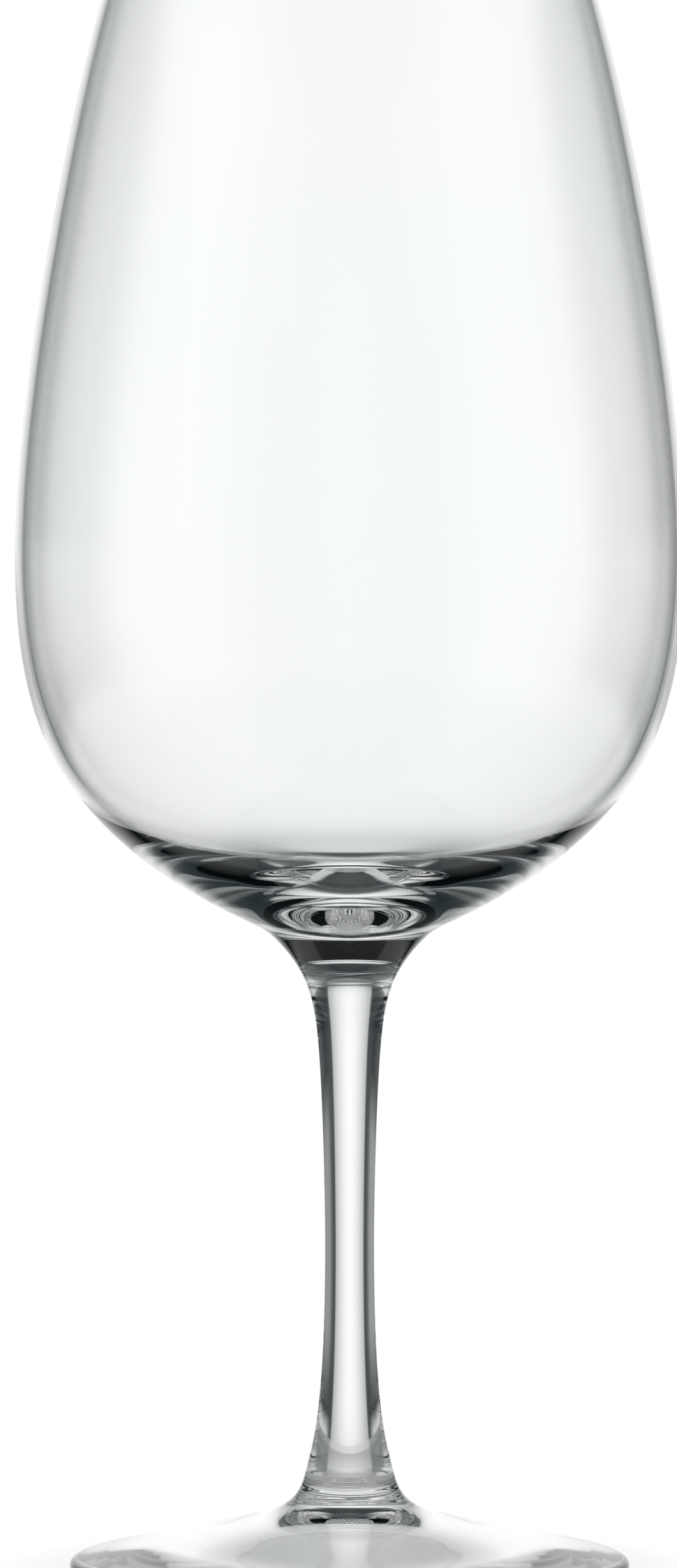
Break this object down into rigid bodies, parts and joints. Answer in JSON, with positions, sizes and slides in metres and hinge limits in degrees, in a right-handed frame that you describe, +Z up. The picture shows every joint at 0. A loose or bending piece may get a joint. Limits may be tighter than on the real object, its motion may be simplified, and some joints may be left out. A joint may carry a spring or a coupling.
{
  "type": "wine glass",
  "caption": "Stemmed red-wine glass with a deep rounded bowl, thick clear base, slender drawn stem and a wide low foot.",
  "frame": {"origin": "middle of the foot's resting ring, on the table", "axes": "+Z up the axis of the glass towards the rim; the glass is round about it, so X and Y are free"},
  "size_m": [0.086, 0.086, 0.205],
  "materials": {
    "clear_glass": "fire polished, colourless, smooth"
  },
  "bodies": {
    "root": {"bowl": "clear_glass", "stem": "clear_glass", "foot": "clear_glass"}
  },
  "joints": []
}
